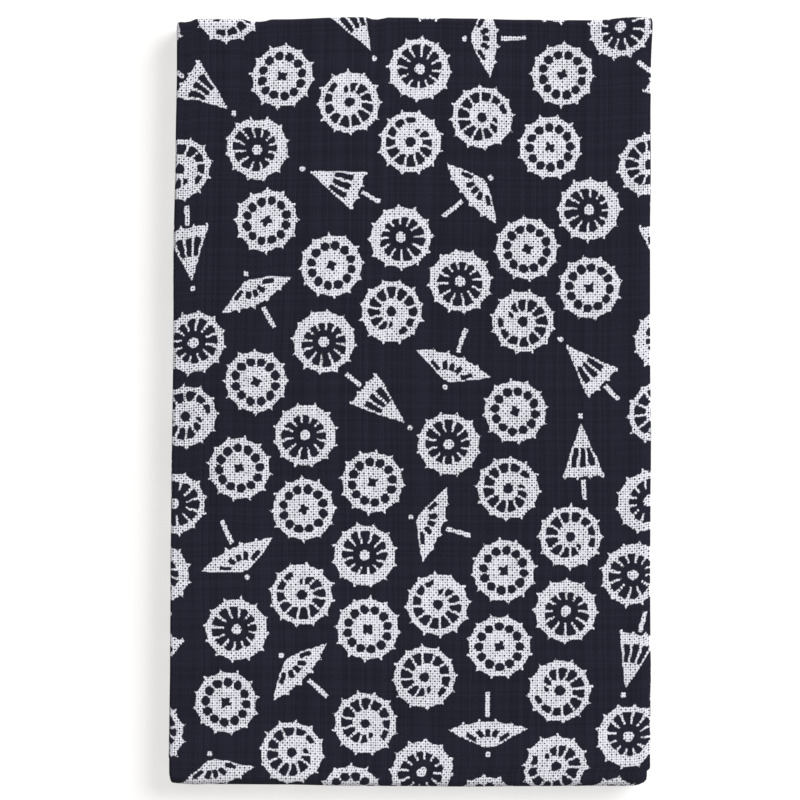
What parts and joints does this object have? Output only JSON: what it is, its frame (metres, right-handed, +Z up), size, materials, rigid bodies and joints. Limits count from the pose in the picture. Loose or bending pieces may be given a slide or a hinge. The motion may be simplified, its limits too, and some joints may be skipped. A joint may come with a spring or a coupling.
{
  "type": "tenugui towel",
  "caption": "Thin plain-woven cotton hand towel folded flat into a small packet, in three across its width and then back and forth along its length.",
  "frame": {"origin": "middle of the face that the folded towel rests on", "axes": "+Y along the packet, towards its far end fold; +X across it, towards the side where the woven edges lie; +Z up"},
  "size_m": [0.1128, 0.179, 0.0088],
  "materials": {
    "dyed_cotton": "matt plain-woven cotton, dark navy ground with a white resist print of small paper umbrellas"
  },
  "bodies": {
    "root": {"cloth": "dyed_cotton"}
  },
  "joints": []
}
